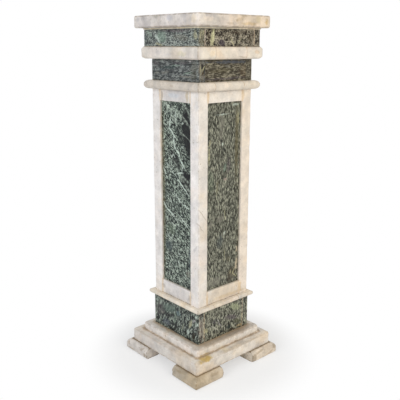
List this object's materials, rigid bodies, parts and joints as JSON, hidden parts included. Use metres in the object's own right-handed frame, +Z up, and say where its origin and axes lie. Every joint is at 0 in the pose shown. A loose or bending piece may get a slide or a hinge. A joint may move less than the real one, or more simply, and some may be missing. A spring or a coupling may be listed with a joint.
{
  "type": "marble pedestal column stand",
  "caption": "Square column stand of veined green and white marble: slab top, moulded neck, panelled shaft, base block, stepped plinth on corner feet.",
  "frame": {"origin": "on the floor, under the middle of the column", "axes": "+Z up along the column; -Y is the front side and +X the right side, each square to a face"},
  "size_m": [0.364, 0.364, 1.095],
  "materials": {
    "white_marble": "worn polish, grey and ochre clouds",
    "green_marble": "polished, pale veins and flecks",
    "step_marble": "honed, stained beige in the crevices",
    "foot_marble": "honed, beige",
    "steel": "plain mill finish"
  },
  "bodies": {
    "root": {"anchor_plate": "steel", "band_back": "white_marble", "band_front": "white_marble", "band_left": "white_marble", "band_right": "white_marble", "base_block_back": "green_marble", "base_block_front": "green_marble", "base_block_left": "green_marble", "base_block_right": "green_marble", "base_moulding_back": "white_marble", "base_moulding_front": "white_marble", "base_moulding_left": "white_marble", "base_moulding_right": "white_marble", "bottom_rail_back": "white_marble", "bottom_rail_front": "white_marble", "bottom_rail_left": "white_marble", "bottom_rail_right": "white_marble", "foot_back_left": "foot_marble", "foot_back_right": "foot_marble", "foot_front_left": "foot_marble", "foot_front_right": "foot_marble", "lower_frieze_back": "green_marble", "lower_frieze_front": "green_marble", "lower_frieze_left": "green_marble", "lower_frieze_right": "green_marble", "lower_step": "step_marble", "panel_back": "green_marble", "panel_front": "green_marble", "panel_left": "green_marble", "panel_right": "green_marble", "post_back_left": "white_marble", "post_back_right": "white_marble", "post_front_left": "white_marble", "post_front_right": "white_marble", "tie_nuts": "steel", "tie_rod": "steel", "tie_washers": "steel", "top_bed": "white_marble", "top_rail_back": "white_marble", "top_rail_front": "white_marble", "top_rail_left": "white_marble", "top_rail_right": "white_marble", "top_slab": "white_marble", "torus_back": "white_marble", "torus_front": "white_marble", "torus_left": "white_marble", "torus_right": "white_marble", "upper_frieze_back": "green_marble", "upper_frieze_front": "green_marble", "upper_frieze_left": "green_marble", "upper_frieze_right": "green_marble", "upper_step": "step_marble"}
  },
  "joints": []
}
